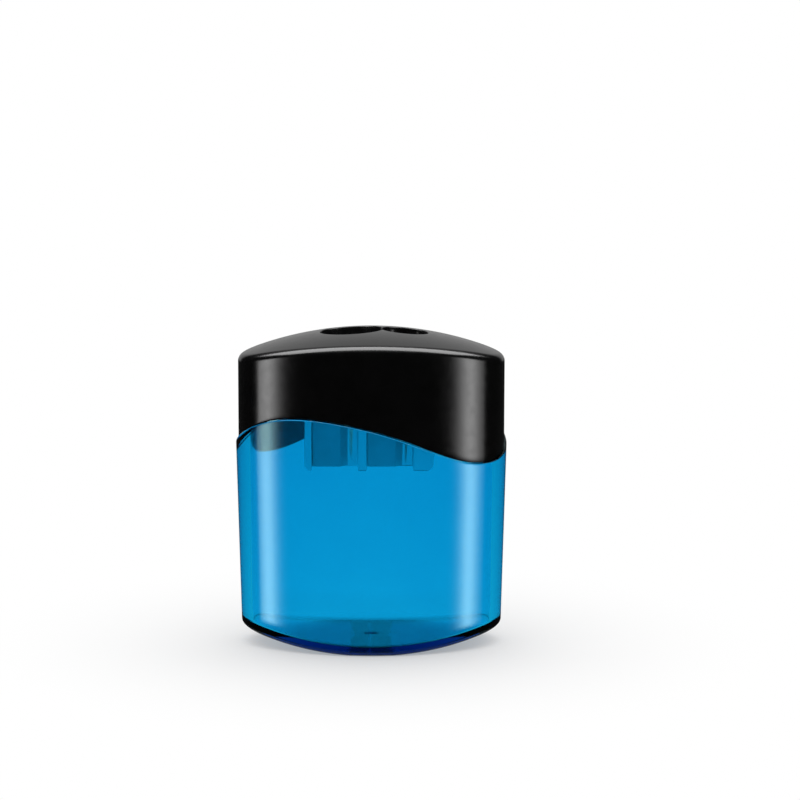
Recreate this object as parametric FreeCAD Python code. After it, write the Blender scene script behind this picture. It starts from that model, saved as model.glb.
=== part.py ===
import FreeCAD, Part
import math
import os

Vector = FreeCAD.Vector
UP = Vector(0, 0, 1)

# Two-hole tub pencil sharpener, in millimetres.
# Origin: middle of the underside. +Z is up, -Y is the front and +X is the right-hand end seen from the front.

# Plan of the lid: an oval of four tangent arcs.
lid_half_width = 28.9
lid_half_depth = 17.6
lid_end_radius = 12.0

# Lid.
lid_top = 69.0
dome_radius = 75.0
dome_edge_round = 1.9
lid_wall = 1.3
lid_roof = 1.6
lid_shoulder = 0.8

# Tub. Offsets are measured outwards from the lid's plan, depths downwards from its top.
tub_rim_step = 0.6
tub_foot_step = -0.6
tub_rim_depth = 22.6
collar_depth = 13.1
collar_wall = 1.0
collar_fit = 0.08
cavity_draft = 0.5
rocker_radius = 95.0
foot_flat = 0.12
floor_wall = 1.8
foot_round = 1.2
gate_radius = 1.5
gate_depth = 0.3

# Wavy joint between lid and tub: two crests round the oval, steepened at its ends by a second wave.
wave_depth = 22.4
wave_height = 5.05
wave_turn = math.radians(29)
ripple_height = 0.65
ripple_turn = math.radians(4)
wave_gap = 0.15
wave_points = 64
wave_inside = -9.0
wave_outside = 4.0

# Sharpener block.
block_left = -14.1
block_right = 13.1
block_half_depth = 6.6
block_depth = 5.3
block_height = 24.7
guide_length = 4.1
bore_spacing = 11.7
large_axis = -4.4
large_radius = 5.1
large_half_angle = math.radians(15)
small_radius = 4.1
small_half_angle = math.radians(11.5)
block_corner = 1.0

# Blades and their screws.
blade_width = 7.4
blade_length = 22.4
blade_thickness = 1.0
blade_bevel = 1.5
blade_edge = 0.1
blade_setback = 0.7
blade_bite = 0.05
blade_lift = 0.3
blade_play = 0.15
shaving_slot = 2.2
screw_from_edge = 4.4
screw_from_end = 13.0
screw_radius = 1.25
screw_play = 0.05
screw_length = 4.0
head_radius = 2.3
head_height = 1.3
head_slot = 0.6
blade_hole_radius = 1.5

# Lead-ins in the lid's top and the socket that holds the block.
large_mouth_radius = 7.0
small_mouth_radius = 5.2
mouth_play = 0.3
cheek_wall = 1.5
cheek_return = 3.0
cheek_length = 11.3

# Derived values.
end_centre = lid_half_width - lid_end_radius
half_depth_left = lid_half_depth - lid_end_radius
side_centre = (end_centre ** 2 - half_depth_left ** 2) / (2 * half_depth_left)
side_radius = side_centre + lid_half_depth
side_half_angle = math.atan2(end_centre, side_centre)
end_half_angle = math.pi / 2 - side_half_angle
tub_rim_level = lid_top - tub_rim_depth
wave_level = lid_top - wave_depth
collar_top = lid_top - collar_depth
block_top = lid_top - block_depth
block_bottom = block_top - block_height
cheek_bottom = block_top - cheek_length
small_axis = large_axis + bore_spacing
guide_bottom = block_top - guide_length
collar_outside = -lid_wall - collar_fit
collar_inside = collar_outside - collar_wall
reach = 10.0


def oval_point(part, offset):
    """Point of the oval at a fraction of the way round from the +X end, pushed outwards by an offset."""
    end_run = 2 * lid_end_radius * end_half_angle
    side_run = 2 * side_radius * side_half_angle
    run = part * 2 * (end_run + side_run) + end_run / 2
    run %= 2 * (end_run + side_run)
    half_turn = run >= end_run + side_run
    if half_turn:
        run -= end_run + side_run
    if run < end_run:
        angle = run / lid_end_radius - end_half_angle
        radius = lid_end_radius + offset
        x, y = end_centre + radius * math.cos(angle), radius * math.sin(angle)
    else:
        angle = (run - end_run) / side_radius + end_half_angle
        radius = side_radius + offset
        x, y = radius * math.cos(angle), radius * math.sin(angle) - side_centre
    return (-x, -y) if half_turn else (x, y)


def arc(centre_x, centre_y, radius, start, end, level):
    """Arc edge at one level between two angles."""
    def at(angle):
        return Vector(centre_x + radius * math.cos(angle), centre_y + radius * math.sin(angle), level)
    return Part.Arc(at(start), at((start + end) / 2), at(end)).toShape()


def oval_wire(offset, level):
    """Closed wire of four arcs: right end, back, left end and front."""
    end_radius = lid_end_radius + offset
    long_radius = side_radius + offset
    edges = []
    for turn in (0, math.pi):
        side = math.cos(turn)
        edges.append(arc(side * end_centre, 0, end_radius, turn - end_half_angle, turn + end_half_angle, level))
        edges.append(arc(0, -side * side_centre, long_radius,
                         turn + end_half_angle, turn + math.pi - end_half_angle, level))
    return Part.Wire(edges)


def oval_prism(offset, bottom, top):
    """Upright oval solid."""
    return Part.Face(oval_wire(offset, bottom)).extrude(UP * (top - bottom))


def oval_taper(offset_low, low, offset_high, high):
    """Oval solid whose walls lean evenly from one offset to another."""
    return Part.makeLoft([oval_wire(offset_low, low), oval_wire(offset_high, high)], True, True)


def box(x0, x1, y0, y1, z0, z1):
    """Upright box between two corners."""
    return Part.makeBox(x1 - x0, y1 - y0, z1 - z0, Vector(x0, y0, z0))


def wave_at(part):
    """Level of the wavy joint at a fraction of the way round."""
    turn = 4 * math.pi * part
    return (wave_level + wave_height * math.sin(turn - wave_turn)
            + ripple_height * math.sin(2 * turn - ripple_turn))


def wave_ring(shift, height):
    """Ring whose wavy face follows the joint, raised by shift and thickened by height."""
    rims = []
    for offset in (wave_inside, wave_outside):
        points = []
        for number in range(wave_points):
            part = number / wave_points
            points.append(Vector(*oval_point(part, offset), wave_at(part) + shift))
        curve = Part.BSplineCurve()
        curve.interpolate(Points=points, PeriodicFlag=True)
        rims.append(curve.toShape())
    return Part.makeRuledSurface(rims[0], rims[1]).extrude(UP * height)


def rocker(radius_cut):
    """Long cylinder across the tub that bounds its curved underside."""
    centre = rocker_radius - foot_flat
    start = Vector(0, -lid_half_depth - reach, centre)
    return Part.makeCylinder(rocker_radius - radius_cut, 2 * (lid_half_depth + reach), start, Vector(0, 1, 0))


def tub():
    """Blue tub: leaning outer wall up to the wavy joint, then a plain collar that stands inside the lid."""
    lean = (tub_rim_step - tub_foot_step) / tub_rim_level
    outer = oval_taper(tub_foot_step - lean * reach, -reach, tub_rim_step + lean * reach, tub_rim_level + reach)
    outer = outer.common(rocker(0))
    foot_edges = [edge for edge in outer.Edges if edge.BoundBox.ZMax < tub_rim_level / 2]
    outer = outer.makeFillet(foot_round, foot_edges)
    outer = outer.common(oval_prism(reach, 0, tub_rim_level + reach))
    outer = outer.cut(wave_ring(0, 2 * reach))
    collar = oval_prism(collar_outside, tub_rim_level / 2, collar_top)
    cavity = oval_taper(collar_inside - cavity_draft, 0, collar_inside, collar_top + reach)
    cavity = cavity.common(rocker(floor_wall))
    gate = Part.makeCylinder(gate_radius, floor_wall, Vector(0, 0, floor_wall - foot_flat - gate_depth))
    return outer.fuse(collar).cut(cavity).cut(gate)


def dome(depth):
    """Ball whose top is the lid's dome, or the surface that lies a depth below it."""
    return Part.makeSphere(dome_radius - depth, Vector(0, 0, lid_top - dome_radius))


def socket():
    """Two cheeks that grip the ends of the block, and the pad that its top stands against."""
    depth = block_half_depth + cheek_wall
    left = box(block_left - cheek_wall, block_left + cheek_return, -depth, depth, cheek_bottom, lid_top)
    right = box(block_right - cheek_return, block_right + cheek_wall, -depth, depth, cheek_bottom, lid_top)
    seat = box(block_left, block_right, -block_half_depth, block_half_depth, cheek_bottom - reach, block_top)
    pad = box(block_left, block_right, -block_half_depth, block_half_depth, block_top, lid_top)
    return left.fuse([right, pad]).cut(seat).common(dome(lid_roof / 2))


def lid():
    """Black lid: domed oval cap with a wavy lower edge, a shoulder that rests on the collar, and the socket."""
    low = wave_level - reach
    outer = oval_prism(0, low, lid_top).common(dome(0))
    top_edges = [edge for edge in outer.Edges if edge.BoundBox.ZMin > collar_top]
    outer = outer.makeFillet(dome_edge_round, top_edges)
    skirt_space = oval_prism(-lid_wall, low, collar_top)
    dome_space = oval_prism(-lid_wall - lid_shoulder, collar_top, lid_top).common(dome(lid_roof))
    shell = outer.cut([skirt_space, dome_space]).cut(wave_ring(wave_gap, -2 * reach))
    cap = shell.fuse(socket())
    height = lid_top - block_top
    for axis, bore, mouth in ((large_axis, large_radius, large_mouth_radius),
                              (small_axis, small_radius, small_mouth_radius)):
        widening = (mouth - bore - mouth_play) / height
        above = mouth + widening * lid_roof
        cap = cap.cut(Part.makeCone(bore + mouth_play, above, height + lid_roof, Vector(axis, 0, block_top)))
    return cap


def cone_tip(radius, half_angle):
    """Level of the point of a bore's cone."""
    return guide_bottom - radius / math.tan(half_angle)


def on_seat(shape, axis, radius, half_angle):
    """Move a shape from blade coordinates to its seat: X across, Y up along the blade, Z out of its face."""
    low = block_bottom + blade_lift
    depth = blade_bite / math.cos(half_angle) - (low - cone_tip(radius, half_angle)) * math.tan(half_angle)
    tilt = FreeCAD.Rotation(Vector(1, 0, 0), 90 + math.degrees(half_angle))
    shape.Placement = FreeCAD.Placement(Vector(axis - blade_setback, depth, low), tilt)
    return shape


def blade(unit):
    """Steel blade with one ground edge and a round hole for its screw."""
    plate = box(-blade_width, 0, 0, blade_length, 0, blade_thickness)
    corners = [Vector(-blade_bevel, 0, blade_thickness), Vector(0, 0, blade_edge), Vector(0, 0, blade_thickness)]
    ground = Part.Face(Part.makePolygon(corners + corners[:1])).extrude(Vector(0, blade_length, 0))
    hole = Part.makeCylinder(blade_hole_radius, blade_thickness, Vector(-screw_from_edge, screw_from_end, 0))
    return on_seat(plate.cut([ground, hole]), *unit)


def screw(unit):
    """Slotted cheese-head screw, without its thread."""
    middle = Vector(-screw_from_edge, screw_from_end, -screw_length)
    shank = Part.makeCylinder(screw_radius, screw_length + blade_thickness, middle)
    face = blade_thickness + head_height
    head = Part.makeCylinder(head_radius, head_height, Vector(middle.x, middle.y, blade_thickness))
    rim = [edge for edge in head.Edges if edge.BoundBox.ZMin > face - head_slot / 2]
    head = head.makeFillet(head_slot / 2, rim)
    slot = box(middle.x - head_radius, middle.x + head_radius, middle.y - head_slot / 2,
               middle.y + head_slot / 2, face - head_slot, face)
    return on_seat(shank.fuse(head).cut(slot), *unit)


def sharpener_body(units):
    """Cast block with two bores that end in cones, and two sloping blade seats open at the lower end."""
    outline = [(block_left + block_corner, block_bottom), (block_right - block_corner, block_bottom),
               (block_right, block_bottom + block_corner), (block_right, block_top),
               (block_left, block_top), (block_left, block_bottom + block_corner)]
    corners = [Vector(x, -block_half_depth, z) for x, z in outline]
    block = Part.Face(Part.makePolygon(corners + corners[:1])).extrude(Vector(0, 2 * block_half_depth, 0))
    for unit in units:
        axis, radius, half_angle = unit
        tip = cone_tip(radius, half_angle)
        guide = Part.makeCylinder(radius, guide_length, Vector(axis, 0, guide_bottom))
        cone = Part.makeCone(0, radius, guide_bottom - tip, Vector(axis, 0, tip))
        seat = box(-blade_width - blade_play, shaving_slot, -reach, blade_length + blade_play, 0, reach)
        hole = Part.makeCylinder(screw_radius + screw_play, screw_length + head_slot,
                                 Vector(-screw_from_edge, screw_from_end, -screw_length - head_slot))
        block = block.cut([guide, cone, on_seat(seat, *unit), on_seat(hole, *unit)])
    return block


large_unit = (large_axis, large_radius, large_half_angle)
small_unit = (small_axis, small_radius, small_half_angle)
pieces = {
    "tub": tub(),
    "lid": lid(),
    "sharpener_body": sharpener_body((large_unit, small_unit)),
    "large_blade": blade(large_unit),
    "small_blade": blade(small_unit),
    "large_blade_screw": screw(large_unit),
    "small_blade_screw": screw(small_unit),
}
os.makedirs("parts", exist_ok=True)
for name, shape in pieces.items():
    solid = shape.removeSplitter()
    assert solid.isValid() and len(solid.Solids) == 1, name
    solid.Solids[0].exportStep("parts/" + name + ".step")
    print(name, "volume", round(solid.Volume, 1))
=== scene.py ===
import math

import bmesh
import bpy
import numpy as np
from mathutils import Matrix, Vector


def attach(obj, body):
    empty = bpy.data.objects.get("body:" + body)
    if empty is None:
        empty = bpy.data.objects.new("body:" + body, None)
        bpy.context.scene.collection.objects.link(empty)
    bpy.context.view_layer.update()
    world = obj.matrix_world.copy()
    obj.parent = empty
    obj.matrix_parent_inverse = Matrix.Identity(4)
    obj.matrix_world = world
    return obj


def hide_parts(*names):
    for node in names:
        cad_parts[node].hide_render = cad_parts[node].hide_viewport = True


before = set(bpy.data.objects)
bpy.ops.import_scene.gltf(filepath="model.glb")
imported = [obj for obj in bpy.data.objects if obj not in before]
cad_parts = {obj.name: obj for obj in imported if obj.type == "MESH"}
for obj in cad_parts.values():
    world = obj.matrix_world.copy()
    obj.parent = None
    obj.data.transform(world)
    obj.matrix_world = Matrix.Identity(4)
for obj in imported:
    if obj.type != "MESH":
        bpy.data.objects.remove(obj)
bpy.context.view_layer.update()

MM = 0.001
WELD, SPECK = 2e-7, 1e-8  # metres: points this close become one, edges this short are dropped
HALVINGS = 50
NOISE_LOW, NOISE_HIGH = 0.3, 0.7  # nearly all noise values lie between these

# Sizes in millimetres, as on the solids. The plan is an oval of four tangent arcs, and offsets run outwards from it.
half_width, half_depth, end_radius = 28.9, 17.6, 12.0
end_centre = half_width - end_radius
depth_left = half_depth - end_radius
side_centre = (end_centre ** 2 - depth_left ** 2) / (2 * depth_left)
side_radius = side_centre + half_depth
end_angle = math.pi / 2 - math.atan2(end_centre, side_centre)
end_run = 2 * end_radius * end_angle
girth = 2 * (end_run + 2 * side_radius * (math.pi / 2 - end_angle))

# Joint between lid and tub: middle level, gap under the lid, and the height and lag of its two waves.
wave_level, wave_gap = 46.6, 0.15
swing, swing_lag = 5.05, math.radians(29)
ripple, ripple_lag = 0.65, math.radians(4)

# Tub: each wall's offset at level 0 and its lean, the collar, the cylinders of underside and floor, and the roundings.
wall_offset, wall_lean = -0.6, 1.2 / 46.4
inner_offset, inner_lean = -2.88, 0.5 / 65.9
collar_offset, collar_top = -1.38, 55.9
rocker_level, under_radius, floor_radius = 94.88, 95.0, 93.2
foot_round, floor_round, rim_round, lip_round = 1.2, 0.6, 0.3, 0.25

# Gate mark in the tub's floor: where the plain floor ends, and the radius and depth of each ring inside.
gate_border = 2.0
gate_rings = ((1.62, 0), (1.54, 0.04), (1.46, 0.26), (1.38, 0.3), (0.7, 0.3), (0, 0.3))

# Lid: the dome's sphere, the roll of its edge, the roof's thickness, the skirt and the rounding of its lower edge.
ball_radius, ball_level = 75.0, -6.0
dome_roll, roof = 1.9, 1.6
skirt_offset, roof_offset = -1.3, -2.1
lid_edge = 0.2

# Mouths of the lid: axis along X, radius at the block's top, and how much wider the cone gets for each millimetre up.
mouths = ((-4.4, 5.4, 1.6 / 5.3), (7.3, 4.4, 0.8 / 5.3))
mouth_height = 5.5
mouth_edge, least_edge = 0.2, 0.03
# Spans that hold the ridge between the mouths along X, and its end along Y.
ridge_span, ridge_end_span = (1.5, 4.0), (0.5, 3.0)

# Seat of the block: its level, its two ends along X and half its depth. A cheek has an outer wall, a face on the block
# and an end along X; both have the same half depth, lower edge and depth of their tops below the dome.
block_top = 63.7
pad_left, pad_right, pad_depth = -14.1, 13.1, 6.6
cheek_places = ((-15.6, pad_left, -11.1), (14.6, pad_right, 10.1))
cheek_depth, cheek_foot, cheek_sink = 8.1, 52.4, 0.8


def oval(part, offset):
    """Plan point at a share of the girth from the +X end towards +Y: the arc's centre plus (radius + offset) along
    the arc's angle. The second half of the girth is the first one turned by half a turn."""
    part, offset = np.broadcast_arrays(part, offset)
    run = (part * girth + end_run / 2) % girth
    side = np.where(run >= girth / 2, -1.0, 1.0)
    run = run % (girth / 2)
    on_end = run < end_run
    angle = np.where(on_end, run / end_radius - end_angle, (run - end_run) / side_radius + end_angle)
    radius = np.where(on_end, end_radius, side_radius) + offset
    x = radius * np.cos(angle) + np.where(on_end, end_centre, 0)
    y = radius * np.sin(angle) - np.where(on_end, 0, side_centre)
    return np.stack([side * x, side * y], axis=-1)


def wave(part):
    """Level of the wavy joint: a sine with two crests round the girth plus a smaller one with four."""
    turn = 4 * np.pi * part
    return wave_level + swing * np.sin(turn - swing_lag) + ripple * np.sin(2 * turn - ripple_lag)


def ball(plan, depth=0.0):
    """Level of the dome over a plan point: a sphere, or the sphere that lies a depth below it."""
    return ball_level + np.sqrt((ball_radius - depth) ** 2 - (plan ** 2).sum(-1))


def lift(plan, level):
    """Plan points and levels joined into points of three coordinates."""
    level = np.broadcast_to(level, plan.shape[:-1])
    return np.concatenate([plan, level[..., None]], axis=-1)


def mix(start, end, share):
    """Straight rows between two rings, one row for each share."""
    share = np.asarray(share).reshape(-1, *[1] * np.ndim(start))
    return start + (end - start) * share


def grid(points, closed=True):
    """Points and four-sided faces of a grid of rows and columns; a closed grid joins its last column to its first."""
    rows, columns = points.shape[:2]
    index = np.arange(rows * columns).reshape(rows, columns)
    after = np.roll(index, -1, axis=1) if closed else index[:, 1:]
    index = index if closed else index[:, :-1]
    faces = np.stack([index[:-1], after[:-1], after[1:], index[1:]], axis=-1).reshape(-1, 4)
    return points.reshape(-1, 3), faces


def finished(name, mesh, crease):
    """Object of a mesh with its doubles merged, its faces turned outwards and smooth between creases."""
    work = bmesh.new()
    work.from_mesh(mesh)
    bmesh.ops.remove_doubles(work, verts=work.verts, dist=WELD)
    bmesh.ops.dissolve_degenerate(work, edges=work.edges, dist=SPECK)
    bmesh.ops.recalc_face_normals(work, faces=work.faces)
    work.to_mesh(mesh)
    work.free()
    mesh.shade_smooth()
    mesh.set_sharp_from_angle(angle=math.radians(crease))
    shown = bpy.data.objects.new(name, mesh)
    bpy.context.scene.collection.objects.link(shown)
    return shown


def piece(name, patches, crease):
    """One mesh from grids that share their borders: the borders are welded, the faces turned outwards and edges
    sharper than the crease angle, in degrees, kept sharp."""
    starts = np.cumsum([0] + [len(points) for points, faces in patches])
    points = np.concatenate([points for points, faces in patches]) * MM
    faces = np.concatenate([faces + start for (points_of, faces), start in zip(patches, starts)])
    mesh = bpy.data.meshes.new(name)
    mesh.from_pydata(points.tolist(), [], faces.tolist())
    return finished(name, mesh, crease)


def settled(shown, name):
    """Mesh of a piece as its modifiers leave it. The piece itself is removed."""
    mesh = bpy.data.meshes.new_from_object(shown.evaluated_get(bpy.context.evaluated_depsgraph_get()))
    bpy.data.meshes.remove(shown.data)
    mesh.name = name
    return mesh


def united(name, shell, addition, crease):
    """One closed mesh of two overlapping closed pieces, which it takes the place of."""
    union = shell.modifiers.new("union", "BOOLEAN")
    union.operation, union.solver, union.object = "UNION", "EXACT", addition
    mesh = settled(shell, name)
    bpy.data.meshes.remove(addition.data)
    return finished(name, mesh, crease)


def corner(offset, level, lean, slope, radius, steps):
    """Rounded corner between a floor and a wall in the upright plane across the girth. The wall climbs 1 for each
    lean of offset, the floor climbs slope inwards, and an arc touches both: the rows run from floor to wall."""
    wall = np.stack(np.broadcast_arrays(lean, 1.0), -1) / np.hypot(lean, 1)[..., None]
    floor = np.stack(np.broadcast_arrays(-1.0, slope), -1) / np.hypot(1, slope)[..., None]
    half = np.arccos((wall * floor).sum(-1)) / 2
    middle = (wall + floor) / np.linalg.norm(wall + floor, axis=-1, keepdims=True)
    centre = np.stack([offset, level], -1) + middle * (radius / np.sin(half))[..., None]
    reach = (radius / np.tan(half))[..., None]
    start = np.stack([offset, level], -1) + floor * reach - centre
    end = np.stack([offset, level], -1) + wall * reach - centre
    sweep = np.pi - 2 * half
    share = np.linspace(0, 1, steps)[:, None]
    blend = (np.sin((1 - share) * sweep)[..., None] * start + np.sin(share * sweep)[..., None] * end)
    rows = centre + blend / np.sin(sweep)[..., None]
    return rows[..., 0], rows[..., 1]


def rocker(plan, radius):
    """Level and slope along X of the curved underside or floor: a cylinder across the tub."""
    fall = np.sqrt(radius ** 2 - plan[..., 0] ** 2)
    return rocker_level - fall, plan[..., 0] / fall


def tub_shell(columns=520):
    """Tub as one closed profile carried round the oval: underside, rounded foot, leaning wall, rounded rim, ledge,
    collar, inner wall, rounded inner corner and the floor with its round gate mark."""
    part = np.arange(columns) / columns
    normal = oval(part, 1.0) - oval(part, 0.0)
    rim = wave(part)
    lip_level = collar_top - lip_round

    def foot(base, lean, radius, bend):
        """Rounded corner between a wall and a cylinder, or the flat strip at level 0 where that is higher."""
        level = np.zeros(columns)
        for step in range(4):
            height, tilt = rocker(oval(part, base + lean * level), radius)
            level = np.maximum(height, 0.0)
        slope = np.where(height > 0, -tilt * normal[:, 0], 0.0)
        return corner(base + lean * level, level, np.full(columns, lean), slope, bend, 7)

    rows = []
    offset, level = foot(wall_offset, wall_lean, under_radius, foot_round)
    under = mix(np.zeros((columns, 2)), oval(part, offset[0]), np.linspace(0, 1, 15)[:-1])
    rows.append(lift(under, np.maximum(rocker(under, under_radius)[0], 0)))
    rows.append(lift(oval(part, offset), level))
    height = mix(level[-1], rim - rim_round, np.linspace(0, 1, 15)[1:])
    rows.append(lift(oval(part, wall_offset + wall_lean * height), height))
    turn = np.linspace(0, np.pi / 2, 7)[1:, None]
    edge = wall_offset + wall_lean * rim
    rows.append(lift(oval(part, edge - rim_round * (1 - np.cos(turn))), rim - rim_round * (1 - np.sin(turn))))
    rows.append(lift(oval(part, np.full((1, columns), collar_offset)), rim))
    height = mix(rim, np.full(columns, lip_level), np.linspace(0, 1, 4)[1:])
    rows.append(lift(oval(part, np.full_like(height, collar_offset)), height))
    turn = np.linspace(0, np.pi / 2, 5)[1:, None] + np.zeros(columns)
    lip = lip_round * (1 - np.cos(turn))
    height = collar_top - lip_round * (1 - np.sin(turn))
    rows.append(lift(oval(part, collar_offset - lip), height))
    inner_top = inner_offset + inner_lean * lip_level
    rows.append(lift(oval(part, inner_top + lip[::-1]), height[::-1]))
    offset, level = foot(inner_offset, inner_lean, floor_radius, floor_round)
    height = mix(np.full(columns, lip_level), level[-1], np.linspace(0, 1, 17)[:-1])
    rows.append(lift(oval(part, inner_offset + inner_lean * height), height))
    rows.append(lift(oval(part, offset[::-1]), level[::-1]))
    border = oval(part, offset[0])
    ray = border / np.linalg.norm(border, axis=-1, keepdims=True)
    floor = mix(border, ray * gate_border, np.linspace(0, 1, 27)[1:])
    rows.append(lift(floor, rocker(floor, floor_radius)[0]))
    for radius, depth in gate_rings:
        mark = (ray * radius)[None]
        rows.append(lift(mark, rocker(mark, floor_radius)[0] - depth))
    return piece("blue_tub", [grid(np.concatenate(rows))], crease=40)


def mouth_rim(mouth, angle):
    """Radii and levels that shape a mouth's rounded edge at an angle round its axis: where the rounding leaves the
    dome, where the bare cone and the dome would meet, and where the rounding reaches the cone."""
    axis, base, widening = mouth
    ray = np.stack([np.cos(angle), np.sin(angle)], -1)

    def dome(radius):
        return ball(ray * radius[..., None] + np.array([axis, 0.0]))

    meet = np.full(np.shape(angle), base + widening * mouth_height)
    for step in range(6):
        meet = base + widening * (dome(meet) - block_top)
    down = mouth_edge / math.hypot(widening, 1)
    return ((meet + mouth_edge, dome(meet + mouth_edge)), (meet, dome(meet)),
            (meet - widening * down, dome(meet) - down))


def mouth_level(mouth, angle, radius):
    """Level of a mouth's surface at a radius: the cone, then a parabola whose control points are mouth_rim's."""
    outer, meet, inner = mouth_rim(mouth, angle)
    curve = outer[0] - 2 * meet[0] + inner[0]
    root = np.maximum(mouth_edge ** 2 - curve * (outer[0] - radius), 0)
    share = np.clip((mouth_edge - np.sqrt(root)) / curve, 0, 1)
    bend = (1 - share) ** 2 * outer[1] + 2 * share * (1 - share) * meet[1] + share ** 2 * inner[1]
    cone = block_top + (radius - mouth[1]) / mouth[2]
    return np.where(radius < inner[0], cone, bend) + np.maximum(radius - outer[0], 0)


def polar(mouth, x, y):
    """Angle and radius of a plan point round a mouth's axis."""
    return np.arctan2(y, x - mouth[0]), np.hypot(x - mouth[0], y)


def saddle(y):
    """X of the ridge between the mouths at each Y, by halving the span in which their surfaces cross."""
    low, high = (np.full(np.shape(y), end) for end in ridge_span)
    for step in range(HALVINGS):
        x = (low + high) / 2
        first, second = (mouth_level(mouth, *polar(mouth, x, y)) for mouth in mouths)
        low, high = np.where(first > second, low, x), np.where(first > second, x, high)
    return (low + high) / 2


def ridge_end():
    """Y at which the ridge between the mouths runs out into the dome, by halving the span that holds it."""
    low, high = ridge_end_span
    for step in range(HALVINGS):
        reach = (low + high) / 2
        angle, radius = polar(mouths[0], saddle(np.array(reach)), reach)
        inside = radius < mouth_rim(mouths[0], angle)[0][0]
        low, high = (reach, high) if inside else (low, reach)
    return reach


def mouth_patch(mouth, angle, ridge_angle, ridge_radius):
    """Polar grid of a mouth: rows run from its outline over the rounded edge and down the cone to the block's top,
    columns round the free outline and then along the ridge. With it come the free outline on the dome, the free part
    of the foot, and the part of the foot under the ridge."""
    free = len(angle)
    outer = mouth_rim(mouth, angle)[0]
    every = np.concatenate([angle, ridge_angle[1:-1]])
    top = np.concatenate([outer[0], ridge_radius[1:-1]])
    bend = np.minimum(mouth_rim(mouth, every)[2][0], top - least_edge)
    radius = np.concatenate([mix(top, bend, np.linspace(0, 1, 7)),
                             mix(bend, np.full_like(bend, mouth[1]), np.linspace(0, 1, 9)[1:])])
    ray = np.stack([np.cos(every), np.sin(every)], -1)
    plan = ray * radius[..., None] + np.array([mouth[0], 0.0])
    level = mouth_level(mouth, every, radius)
    level[0, :free] = outer[1]
    level[-1] = block_top
    web = np.concatenate([plan[-1, :1], plan[-1, free:][::-1], plan[-1, free - 1:free]])
    return grid(lift(plan, level)), plan[0, :free], plan[-1, :free], web


def cheek(wall, face, end):
    """Socket cheek: a four-cornered profile, outer and inner wall from the lower edge to inside the roof, carried
    along a path of four corners round the end of the block and closed at both ends."""
    outer, inner = (np.array([[end, -depth], [x, -depth], [x, depth], [end, depth]])
                    for x, depth in ((wall, cheek_depth), (face, pad_depth)))
    ring = np.stack([lift(outer, cheek_foot), lift(outer, ball(outer, cheek_sink)),
                     lift(inner, ball(inner, cheek_sink)), lift(inner, cheek_foot)], axis=1)
    caps = [(ring[0], np.array([[0, 1, 2, 3]])), (ring[-1], np.array([[3, 2, 1, 0]]))]
    return [grid(ring)] + caps


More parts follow.
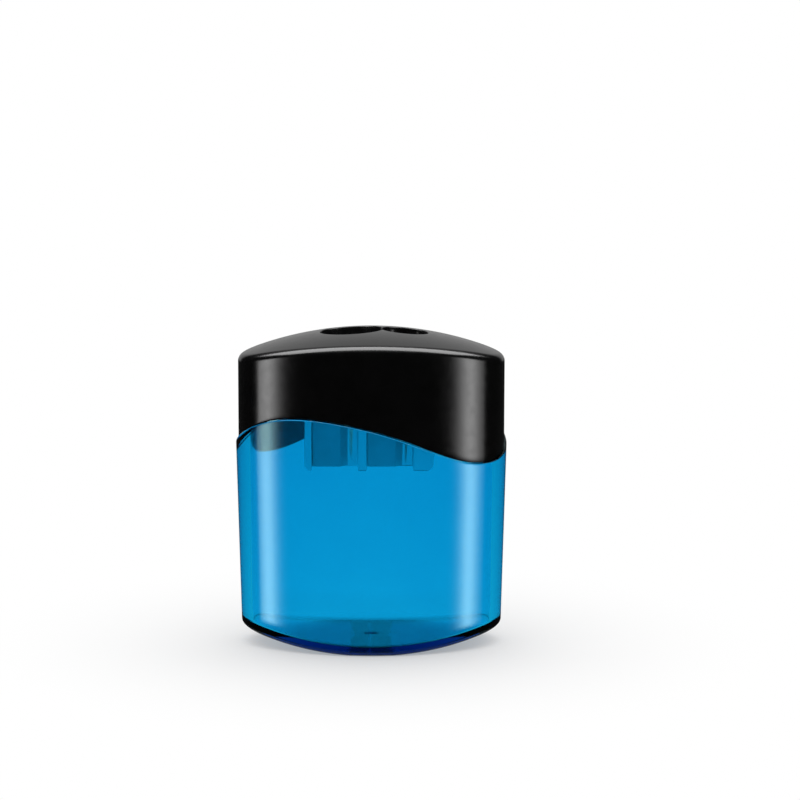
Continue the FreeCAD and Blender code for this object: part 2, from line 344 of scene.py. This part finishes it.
def lid_shell(left=300, right=260, ridge=12, crease=35):
    """Lid as closed grids welded at their borders. Columns run round the oval from the ridge's back end. The skin is
    the wavy edge, the wall, a ball-rolled rounding and the dome down to the mouths' joined outline; the mouths are
    polar grids; the inside is the pad, its sides, the inner dome and the skirt."""
    reach = ridge_end()
    tip = saddle(np.array(reach))
    start = (end_run / 2 + side_radius * (math.acos(float(tip) / side_radius) - end_angle)) / girth
    part = np.concatenate([np.linspace(start, 1 - start, left, endpoint=False),
                           np.linspace(1 - start, 1 + start, right, endpoint=False)])
    columns = left + right
    rim = wave(part) + wave_gap

    turn = np.linspace(0, np.pi / 2, 5)[:, None] + np.zeros(columns)
    skin = [lift(oval(part, np.full((1, columns), skirt_offset)), rim)]
    skin.append(lift(oval(part, -lid_edge + lid_edge * np.sin(turn)), rim + lid_edge * (1 - np.cos(turn))))
    heart = lift(oval(part, -dome_roll), 0.0)
    heart[:, 2] = ball(heart[:, :2], dome_roll)
    height = mix(rim + lid_edge, heart[:, 2], np.linspace(0, 1, 17)[1:])
    skin.append(lift(oval(part, np.zeros_like(height)), height))
    outwards = lift(oval(part, 1.0) - oval(part, 0.0), 0.0)
    upwards = (heart - np.array([0, 0, ball_level])) / (ball_radius - dome_roll)
    sweep = np.arccos((outwards * upwards).sum(-1))[:, None]
    share = np.linspace(0, 1, 11)[1:, None, None]
    blend = np.sin((1 - share) * sweep) * outwards + np.sin(share * sweep) * upwards
    skin.append(heart + dome_roll * blend / np.sin(sweep))

    full = 2 * np.pi
    ridge_y = np.linspace(-reach, reach, ridge + 1)
    ridge_x = saddle(ridge_y)
    along, far = polar(mouths[0], ridge_x, ridge_y)
    angle = np.linspace(along[-1], full + along[0], left + 1)
    left_mouth, left_outline, left_foot, left_web = mouth_patch(mouths[0], angle, along, far)
    along, far = polar(mouths[1], ridge_x, ridge_y)
    along = along % full
    angle = np.linspace(along[0] - full, along[-1], right + 1)
    right_mouth, right_outline, right_foot, right_web = mouth_patch(mouths[1], angle, along[::-1], far[::-1])

    outline = np.concatenate([left_outline[:-1], right_outline[:-1]])
    dome = mix(skin[-1][-1][:, :2], outline, np.linspace(0, 1, 33)[1:])
    skin.append(lift(dome, ball(dome)))

    corners = np.array([[tip, pad_depth], [pad_left, pad_depth], [pad_left, -pad_depth], [tip, -pad_depth],
                        [pad_right, -pad_depth], [pad_right, pad_depth], [tip, pad_depth]])
    left_turn, right_turn = int(left * 0.36), int(right * 0.31)
    stops = [0, left_turn, left - left_turn, left, left + right_turn, columns - right_turn, columns]
    pad = np.stack([np.interp(np.arange(columns + 1), stops, corners[:, axis]) for axis in (0, 1)], -1)
    pad_ring = np.concatenate([pad[:left + 1], pad[left:]])
    under = mix(np.concatenate([left_foot, right_foot]), pad_ring, np.linspace(0, 1, 7))
    under = grid(lift(under, block_top))
    web = grid(lift(np.stack([left_web, right_web[::-1]]), block_top), closed=False)
    pad = pad[:-1]
    inside = [lift(pad, block_top)[None]]
    inside.append(lift(mix(pad, oval(part, roof_offset), np.linspace(0, 1, 15)), 0.0))
    inside[-1][..., 2] = ball(inside[-1][..., :2], roof)
    inside.append(lift(oval(part, np.full((1, columns), roof_offset)), collar_top))
    height = mix(np.full(columns, collar_top), rim, np.linspace(0, 1, 9))
    inside.append(lift(oval(part, np.full_like(height, skirt_offset)), height))
    patches = [grid(np.concatenate(skin)), left_mouth, right_mouth, under, web, grid(np.concatenate(inside))]
    shell = piece("lid_skin", patches, crease)
    cheeks = piece("socket_cheeks", [patch for place in cheek_places for patch in cheek(*place)], crease)
    return united("black_lid", shell, cheeks, crease)


def eased(node, name, width, crease=30):
    """Merged copy of a solid's mesh with its flat faces joined, and a small bevel on the edges with room for it."""
    merge, flat, bent, room = 1e-6, math.radians(0.3), math.radians(35), 2.5 * width * MM
    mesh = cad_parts[node].data.copy()
    work = bmesh.new()
    work.from_mesh(mesh)
    bmesh.ops.remove_doubles(work, verts=work.verts, dist=merge)
    bmesh.ops.dissolve_limit(work, angle_limit=flat, verts=work.verts, edges=work.edges)
    weight = work.edges.layers.float.new("bevel_weight_edge")
    for edge in work.edges:
        around = [near.calc_length() for end in edge.verts for near in end.link_edges]
        edge[weight] = float(min(around) > room and edge.calc_face_angle(0.0) > bent)
    work.to_mesh(mesh)
    work.free()
    mesh.materials.clear()
    shown = finished(name, mesh, crease)
    bevel = shown.modifiers.new("eased edges", "BEVEL")
    bevel.width = width * MM
    bevel.segments = 3
    bevel.limit_method = "WEIGHT"
    bevel.use_clamp_overlap = True
    shown = finished(name, settled(shown, name), crease)
    level = shown.modifiers.new("flat faces stay flat", "WEIGHTED_NORMAL")
    level.weight = 100
    level.keep_sharp = True
    return shown


def add_node(tree, kind, **values):
    """New node of a tree, with its settings."""
    made = tree.nodes.new(kind)
    for name, value in values.items():
        setattr(made, name, value)
    return made


def add_range(tree, value, start, end, low=0.0, high=1.0):
    """A value that runs from start to end, brought smoothly to run from low to high."""
    scale = add_node(tree, "ShaderNodeMapRange", interpolation_type="SMOOTHSTEP")
    for name, number in (("From Min", start), ("From Max", end), ("To Min", low), ("To Max", high)):
        scale.inputs[name].default_value = number
    tree.links.new(value, scale.inputs["Value"])
    return scale.outputs["Result"]


def add_math(tree, operation, *values):
    """Result of an operation on values, each of them a number or another node's output."""
    made = add_node(tree, "ShaderNodeMath", operation=operation)
    for socket, value in zip(made.inputs, values):
        if isinstance(value, float):
            socket.default_value = value
        else:
            tree.links.new(value, socket)
    return made.outputs["Value"]


def add_vector(tree, operation, value, other=(0, 0, 0)):
    """Outputs of an operation on a vector and, where it takes two, a fixed one."""
    made = add_node(tree, "ShaderNodeVectorMath", operation=operation)
    made.inputs[1].default_value = other
    tree.links.new(value, made.inputs[0])
    return made.outputs


class Finish:
    """A node material: a shader and the few textures that vary it over the piece's own coordinates."""

    def __init__(self, name, **values):
        self.material = bpy.data.materials.new(name)
        self.material.use_nodes = True
        self.tree = self.material.node_tree
        self.shader = self.tree.nodes["Principled BSDF"]
        self.output = self.tree.nodes["Material Output"]
        self.place = add_node(self.tree, "ShaderNodeTexCoord").outputs["Object"]
        for socket, value in values.items():
            self.shader.inputs[socket.replace("_", " ")].default_value = value

    def noise(self, size, detail=3.0, stretch=(1, 1, 1)):
        """Noise whose grains are about size millimetres across, stretched by three factors."""
        turn = add_node(self.tree, "ShaderNodeMapping")
        turn.inputs["Scale"].default_value = [1 / (size * MM * factor) for factor in stretch]
        texture = add_node(self.tree, "ShaderNodeTexNoise")
        texture.inputs["Scale"].default_value = 1.0
        texture.inputs["Detail"].default_value = detail
        self.tree.links.new(self.place, turn.inputs["Vector"])
        self.tree.links.new(turn.outputs["Vector"], texture.inputs["Vector"])
        return texture.outputs["Fac"]

    def spread(self, value, low, high, socket):
        """Noise brought to a range and led to a shader socket."""
        ranged = add_range(self.tree, value, NOISE_LOW, NOISE_HIGH, low, high)
        self.tree.links.new(ranged, self.shader.inputs[socket])

    def tint(self, value, low, high):
        """Colour that drifts between two tones."""
        ramp = add_node(self.tree, "ShaderNodeValToRGB")
        for stop, place, tone in zip(ramp.color_ramp.elements, (NOISE_LOW, NOISE_HIGH), (low, high)):
            stop.position = place
            stop.color = (*tone, 1)
        self.tree.links.new(value, ramp.inputs["Fac"])
        self.tree.links.new(ramp.outputs["Color"], self.shader.inputs["Base Color"])

    def relief(self, value, depth):
        """Bump of a depth in millimetres."""
        bump = add_node(self.tree, "ShaderNodeBump")
        bump.inputs["Distance"].default_value = depth * MM
        bump.inputs["Strength"].default_value = 1.0
        self.tree.links.new(value, bump.inputs["Height"])
        self.tree.links.new(bump.outputs["Normal"], self.shader.inputs["Normal"])

    def depth_tint(self, colour, density):
        """Colour that deepens with the thickness of the plastic."""
        absorb = add_node(self.tree, "ShaderNodeVolumeAbsorption")
        absorb.inputs["Color"].default_value = (*colour, 1)
        absorb.inputs["Density"].default_value = density
        self.tree.links.new(absorb.outputs["Volume"], self.output.inputs["Volume"])


def blue_plastic():
    """Clear blue moulded plastic: tinted through its thickness, polished, with faint flow ripples."""
    finish = Finish("clear blue plastic", Transmission_Weight=1.0, IOR=1.52, Specular_Tint=(0.55, 0.98, 1.0, 1.0))
    finish.tint(finish.noise(9, 2), (0.27, 0.785, 0.956), (0.305, 0.810, 0.972))
    finish.spread(finish.noise(2.5), 0.015, 0.045, "Roughness")
    finish.relief(finish.noise(7, 1, (1, 1, 2.5)), 0.006)
    finish.depth_tint((0.06, 0.835, 0.920), 800.0)
    return finish.material


def black_plastic():
    """Polished black plastic with a soft drift of gloss and fine handling scuffs."""
    finish = Finish("polished black plastic", IOR=1.5)
    finish.tint(finish.noise(5), (0.0010, 0.0010, 0.0012), (0.0022, 0.0022, 0.0025))
    finish.spread(finish.noise(1.6, 5), 0.17, 0.21, "Roughness")
    finish.relief(finish.noise(0.9, 2), 0.0008)
    return finish.material


def cast_metal():
    """Die-cast light metal, satin, with a fine cast grain."""
    finish = Finish("cast light metal", Metallic=0.85)
    finish.tint(finish.noise(3, 4), (0.93, 0.94, 0.95), (0.97, 0.975, 0.98))
    finish.spread(finish.noise(0.8, 3), 0.29, 0.35, "Roughness")
    finish.relief(finish.noise(0.6, 2), 0.0006)
    return finish.material


def ground_steel():
    """Ground tool steel: fine grinding lines along the blade's width."""
    finish = Finish("ground steel", Metallic=0.75)
    finish.tint(finish.noise(2.5, 3), (0.55, 0.56, 0.58), (0.61, 0.62, 0.64))
    finish.spread(finish.noise(0.12, 3, (40, 1, 1)), 0.29, 0.39, "Roughness")
    finish.relief(finish.noise(0.09, 2, (60, 1, 1)), 0.0006)
    return finish.material


def plated_steel():
    """Zinc-plated screw steel, faintly warm."""
    finish = Finish("plated steel", Metallic=0.8)
    finish.tint(finish.noise(0.8, 3), (0.60, 0.59, 0.54), (0.70, 0.69, 0.65))
    finish.spread(finish.noise(0.3, 3), 0.29, 0.40, "Roughness")
    finish.relief(finish.noise(0.2, 2), 0.003)
    return finish.material


def put(shown, body, node, material):
    """A finished piece takes its material, stands for its solid and rides on its body."""
    shown.data.materials.append(material)
    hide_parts(node)
    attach(shown, body)


def floor_look():
    """Pale matt floor. From a distance on it glows white to the camera, and nearer still through clear plastic."""
    finish = Finish("pale floor", Roughness=0.9)
    tree, links = finish.tree, finish.tree.links
    finish.tint(finish.noise(60, 3), (0.74, 0.74, 0.74), (0.77, 0.77, 0.77))
    glow = add_node(tree, "ShaderNodeEmission")
    glow.inputs["Color"].default_value = (1, 1, 1, 1)
    away = add_vector(tree, "LENGTH", finish.place)["Value"]
    path = add_node(tree, "ShaderNodeLightPath").outputs
    seen, through = (add_math(tree, "MULTIPLY", add_range(tree, away, near, far), path[ray])
                     for ray, near, far in (("Is Camera Ray", -0.03, 0.09), ("Is Transmission Ray", 0.012, 0.032)))
    blend = add_node(tree, "ShaderNodeMixShader")
    links.new(add_math(tree, "MAXIMUM", seen, through), blend.inputs["Fac"])
    links.new(finish.shader.outputs["BSDF"], blend.inputs[1])
    links.new(glow.outputs["Emission"], blend.inputs[2])
    links.new(blend.outputs["Shader"], finish.output.inputs["Surface"])
    return finish.material


def pale_floor(columns=96):
    """Round floor, plain and pale: it takes the shadow near the object and turns into the backdrop further out."""
    turn = np.linspace(0, 2 * np.pi, columns, endpoint=False)
    plan = np.stack([np.cos(turn), np.sin(turn)], -1)
    radii = np.array([0.0, 40, 80, 160, 320, 640, 1500, 4000])
    floor = piece("floor", [grid(lift(plan * radii[:, None, None], 0.0))], crease=40)
    floor.visible_glossy = False
    floor.data.materials.append(floor_look())


def studio_world():
    """Backdrop that is white to the camera and through clear plastic. All else is lit by a dim studio: two upright
    strips at the sides, soft light from behind and above, and a pale ground. Heights are sines of the elevation."""
    strip_turns, strip_narrowness, strip_power = (-math.radians(69.3), math.radians(65.0)), 155.0, 7.0
    back_power, above_power = 0.43, 2.0
    ground_power, room_power = 0.25, 0.015
    # Reflections see the back light only where it is nearly straight behind, and a third of the light from above.
    glossy_back, glossy_above = -0.74, -0.68

    world = bpy.data.worlds.new("studio")
    bpy.context.scene.world = world
    world.use_nodes = True
    tree, links = world.node_tree, world.node_tree.links
    place = add_node(tree, "ShaderNodeTexCoord").outputs["Generated"]
    axes = add_node(tree, "ShaderNodeSeparateXYZ")
    links.new(place, axes.inputs["Vector"])
    height = axes.outputs["Z"]
    path = add_node(tree, "ShaderNodeLightPath").outputs
    glossy = path["Is Glossy Ray"]
    seen = add_math(tree, "MAXIMUM", path["Is Camera Ray"], path["Is Transmission Ray"])

    level = add_vector(tree, "MULTIPLY", place, (1, 1, 0))["Vector"]
    level = add_vector(tree, "NORMALIZE", level)["Vector"]
    low = add_math(tree, "MULTIPLY", add_range(tree, height, 0.0, 0.2, strip_power, 0.0),
                   add_range(tree, height, -0.295, -0.255))
    strips = 0.0
    for turn in strip_turns:
        along = add_vector(tree, "DOT_PRODUCT", level, (math.sin(turn), -math.cos(turn), 0))["Value"]
        bell = add_math(tree, "POWER", add_math(tree, "MAXIMUM", along, 0.0), strip_narrowness)
        strips = add_math(tree, "ADD", add_math(tree, "MULTIPLY", bell, low), strips)
    behind = add_math(tree, "MULTIPLY_ADD", glossy, glossy_back, axes.outputs["Y"])
    back = add_math(tree, "MULTIPLY", add_range(tree, behind, 0.0, 0.1, 0.0, back_power),
                    add_range(tree, height, -0.12, -0.01))
    above = add_math(tree, "MULTIPLY", add_range(tree, height, 0.5, 0.95, 0.0, above_power),
                     add_math(tree, "MULTIPLY_ADD", glossy, glossy_above, 1.0))
    room = add_math(tree, "ADD", above, add_range(tree, height, -0.65, -0.4, ground_power, room_power))
    room = add_math(tree, "ADD", add_math(tree, "ADD", room, back), strips)
    light = add_math(tree, "MULTIPLY_ADD", room, add_math(tree, "SUBTRACT", 1.0, seen), seen)
    studio = tree.nodes["Background"]
    studio.inputs["Color"].default_value = (1, 1, 1, 1)
    links.new(light, studio.inputs["Strength"])


def overhead_panel(lid):
    """Broad lamp above, which draws the highlight on the lid and lights nothing else."""
    lamp = bpy.data.lights.new("overhead panel", "AREA")
    lamp.shape = "RECTANGLE"
    lamp.size, lamp.size_y = 1.4, 0.5
    lamp.energy = 15.0
    panel = bpy.data.objects.new("overhead panel", lamp)
    panel.location = (0, -0.05, 0.6)
    panel.visible_diffuse = False
    panel.visible_camera = False
    panel.visible_transmission = False
    bpy.context.scene.collection.objects.link(panel)
    lit = bpy.data.collections.new("under the overhead panel")
    lit.objects.link(lid)
    panel.light_linking.receiver_collection = lit


def photo_camera():
    """Camera at the photograph's angle: straight in front, ten degrees above the object."""
    tilt, distance, target = math.radians(10), 0.7, Vector((0, 0, 0.034))
    camera = bpy.data.cameras.new("camera")
    camera.lens = 144.3
    camera.sensor_width = 36.0
    camera.shift_x, camera.shift_y = 0.0358, 0.1092
    camera.clip_start = 0.01
    view = bpy.data.objects.new("camera", camera)
    view.location = target + distance * Vector((0, -math.cos(tilt), math.sin(tilt)))
    view.rotation_euler = (math.pi / 2 - tilt, 0, 0)
    bpy.context.scene.collection.objects.link(view)
    bpy.context.scene.camera = view


steel, plated = ground_steel(), plated_steel()
put(tub_shell(), "tub_body", "tub", blue_plastic())
lid = lid_shell()
put(lid, "lid_body", "lid", black_plastic())
put(eased("sharpener_body", "metal_block", 0.3), "lid_body", "sharpener_body", cast_metal())
for node, material in (("large_blade", steel), ("small_blade", steel),
                       ("large_blade_screw", plated), ("small_blade_screw", plated)):
    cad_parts[node].data.materials.clear()
    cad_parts[node].data.materials.append(material)

pale_floor()
studio_world()
overhead_panel(lid)
photo_camera()
bpy.context.scene.view_settings.view_transform = "Standard"
